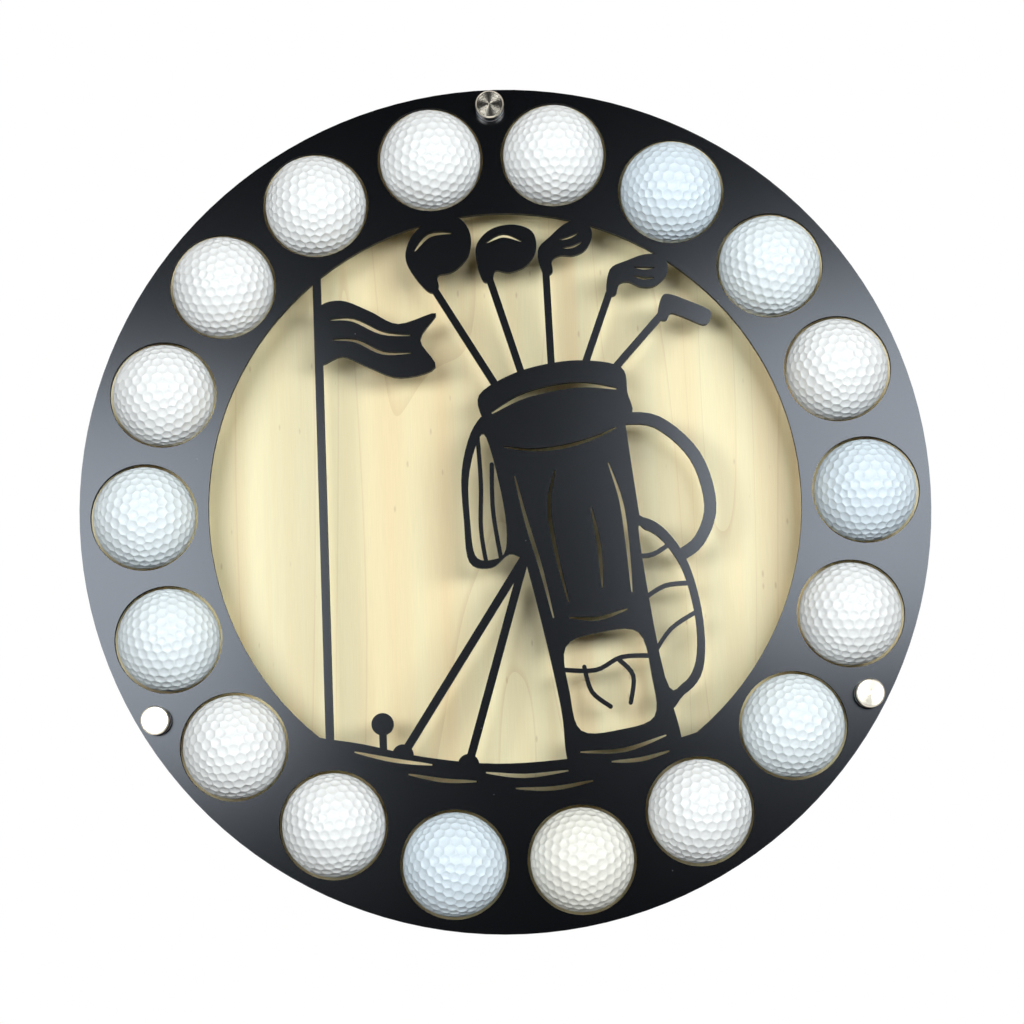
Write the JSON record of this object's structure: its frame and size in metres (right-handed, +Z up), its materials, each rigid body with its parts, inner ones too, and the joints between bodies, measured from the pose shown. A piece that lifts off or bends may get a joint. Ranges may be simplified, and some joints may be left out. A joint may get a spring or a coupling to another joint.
{
  "type": "golf ball wall display",
  "caption": "Round wall display with a ring of golf balls in a black plate, and a cut-through picture before a pale maple panel.",
  "frame": {"origin": "middle of the back panel's rear face, which lies against the wall", "axes": "+X to the right and +Z up as it hangs, +Y into the wall, so the front faces -Y"},
  "size_m": [0.3556, 0.0447, 0.3556],
  "materials": {
    "black_acrylic": "satin",
    "maple_plywood": "clear lacquered, fine grained",
    "brushed_steel": "turned and brushed",
    "clear_nylon": "natural, translucent",
    "zinc_screw": "bright zinc plated",
    "ball_cover": "glossy, dimpled"
  },
  "bodies": {
    "display": {"front_plate": "black_acrylic", "back_panel": "maple_plywood", "barrel_top": "brushed_steel", "barrel_left": "brushed_steel", "barrel_right": "brushed_steel", "rear_washer_top": "clear_nylon", "rear_washer_left": "clear_nylon", "rear_washer_right": "clear_nylon", "front_washer_top": "clear_nylon", "front_washer_left": "clear_nylon", "front_washer_right": "clear_nylon", "cap_top": "brushed_steel", "cap_left": "brushed_steel", "cap_right": "brushed_steel", "screw_top": "zinc_screw", "screw_left": "zinc_screw", "screw_right": "zinc_screw"},
    "ball_1": {"ball_1": "ball_cover"},
    "ball_2": {"ball_2": "ball_cover"},
    "ball_3": {"ball_3": "ball_cover"},
    "ball_4": {"ball_4": "ball_cover"},
    "ball_5": {"ball_5": "ball_cover"},
    "ball_6": {"ball_6": "ball_cover"},
    "ball_7": {"ball_7": "ball_cover"},
    "ball_8": {"ball_8": "ball_cover"},
    "ball_9": {"ball_9": "ball_cover"},
    "ball_10": {"ball_10": "ball_cover"},
    "ball_11": {"ball_11": "ball_cover"},
    "ball_12": {"ball_12": "ball_cover"},
    "ball_13": {"ball_13": "ball_cover"},
    "ball_14": {"ball_14": "ball_cover"},
    "ball_15": {"ball_15": "ball_cover"},
    "ball_16": {"ball_16": "ball_cover"},
    "ball_17": {"ball_17": "ball_cover"},
    "ball_18": {"ball_18": "ball_cover"}
  },
  "joints": [
    {"name": "ball_1_lift_out", "type": "slide", "parent": "display", "child": "ball_1", "axis": [0, -0.9889, 0.1483], "range_m": [0, 0.045]},
    {"name": "ball_2_lift_out", "type": "slide", "parent": "display", "child": "ball_2", "axis": [0, -0.9889, 0.1483], "range_m": [0, 0.045]},
    {"name": "ball_3_lift_out", "type": "slide", "parent": "display", "child": "ball_3", "axis": [0, -0.9889, 0.1483], "range_m": [0, 0.045]},
    {"name": "ball_4_lift_out", "type": "slide", "parent": "display", "child": "ball_4", "axis": [0, -0.9889, 0.1483], "range_m": [0, 0.045]},
    {"name": "ball_5_lift_out", "type": "slide", "parent": "display", "child": "ball_5", "axis": [0, -0.9889, 0.1483], "range_m": [0, 0.045]},
    {"name": "ball_6_lift_out", "type": "slide", "parent": "display", "child": "ball_6", "axis": [0, -0.9889, 0.1483], "range_m": [0, 0.045]},
    {"name": "ball_7_lift_out", "type": "slide", "parent": "display", "child": "ball_7", "axis": [0, -0.9889, 0.1483], "range_m": [0, 0.045]},
    {"name": "ball_8_lift_out", "type": "slide", "parent": "display", "child": "ball_8", "axis": [0, -0.9889, 0.1483], "range_m": [0, 0.045]},
    {"name": "ball_9_lift_out", "type": "slide", "parent": "display", "child": "ball_9", "axis": [0, -0.9889, 0.1483], "range_m": [0, 0.045]},
    {"name": "ball_10_lift_out", "type": "slide", "parent": "display", "child": "ball_10", "axis": [0, -0.9889, 0.1483], "range_m": [0, 0.045]},
    {"name": "ball_11_lift_out", "type": "slide", "parent": "display", "child": "ball_11", "axis": [0, -0.9889, 0.1483], "range_m": [0, 0.045]},
    {"name": "ball_12_lift_out", "type": "slide", "parent": "display", "child": "ball_12", "axis": [0, -0.9889, 0.1483], "range_m": [0, 0.045]},
    {"name": "ball_13_lift_out", "type": "slide", "parent": "display", "child": "ball_13", "axis": [0, -0.9889, 0.1483], "range_m": [0, 0.045]},
    {"name": "ball_14_lift_out", "type": "slide", "parent": "display", "child": "ball_14", "axis": [0, -0.9889, 0.1483], "range_m": [0, 0.045]},
    {"name": "ball_15_lift_out", "type": "slide", "parent": "display", "child": "ball_15", "axis": [0, -0.9889, 0.1483], "range_m": [0, 0.045]},
    {"name": "ball_16_lift_out", "type": "slide", "parent": "display", "child": "ball_16", "axis": [0, -0.9889, 0.1483], "range_m": [0, 0.045]},
    {"name": "ball_17_lift_out", "type": "slide", "parent": "display", "child": "ball_17", "axis": [0, -0.9889, 0.1483], "range_m": [0, 0.045]},
    {"name": "ball_18_lift_out", "type": "slide", "parent": "display", "child": "ball_18", "axis": [0, -0.9889, 0.1483], "range_m": [0, 0.045]}
  ]
}
